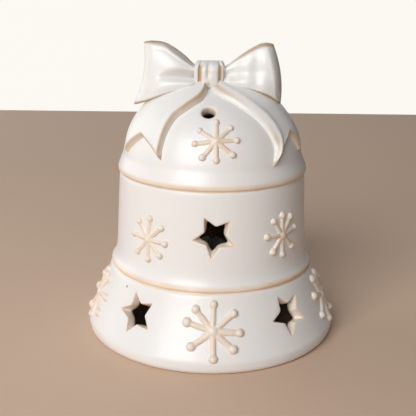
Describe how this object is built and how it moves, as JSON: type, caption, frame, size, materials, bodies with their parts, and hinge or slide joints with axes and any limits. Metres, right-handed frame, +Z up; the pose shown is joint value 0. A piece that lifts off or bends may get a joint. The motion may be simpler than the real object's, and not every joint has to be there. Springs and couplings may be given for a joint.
{
  "type": "porcelain bell",
  "caption": "Glazed porcelain bell with pierced stars, raised snowflakes and a modelled bow; a ball clapper swings on a brass swivel inside.",
  "frame": {"origin": "centre of the foot ring, on the surface that the bell stands on", "axes": "+Z up along the bell's axis, -Y the front with the bow and the vent hole, +X to the right seen from the front"},
  "size_m": [0.101, 0.1019, 0.1152],
  "materials": {
    "shell_glaze": "satin",
    "bare_porcelain": "matte",
    "bow_glaze": "satin",
    "sprig_glaze": "satin",
    "ball_glaze": "satin",
    "brass": "satin"
  },
  "bodies": {
    "bell": {"bell_shell": "shell_glaze", "crown_boss": "bare_porcelain", "hanger_ferrule": "brass", "bow_knot": "bow_glaze", "bow_loop_left": "bow_glaze", "bow_loop_right": "bow_glaze", "bow_tail_left": "bow_glaze", "bow_tail_right": "bow_glaze", "dome_snowflake_front": "sprig_glaze", "dome_snowflake_back": "sprig_glaze", "waist_snowflake_1": "sprig_glaze", "waist_snowflake_2": "sprig_glaze", "waist_snowflake_3": "sprig_glaze", "waist_snowflake_4": "sprig_glaze", "skirt_snowflake_1": "sprig_glaze", "skirt_snowflake_2": "sprig_glaze", "skirt_snowflake_3": "sprig_glaze", "skirt_snowflake_4": "sprig_glaze"},
    "swivel": {"swivel_pin": "brass", "swivel_yoke": "brass", "yoke_pin": "brass"},
    "clapper": {"clapper_stem": "brass", "clapper_ball": "ball_glaze", "clapper_nut": "brass"}
  },
  "joints": [
    {"name": "swivel_turn", "type": "hinge", "parent": "bell", "child": "swivel", "pos_m": [0, 0, 0.088], "axis": [0, 0, 1], "continuous": true},
    {"name": "clapper_swing", "type": "hinge", "parent": "swivel", "child": "clapper", "pos_m": [0, 0, 0.079], "axis": [1, 0, 0], "range_deg": [-29, 29]}
  ]
}
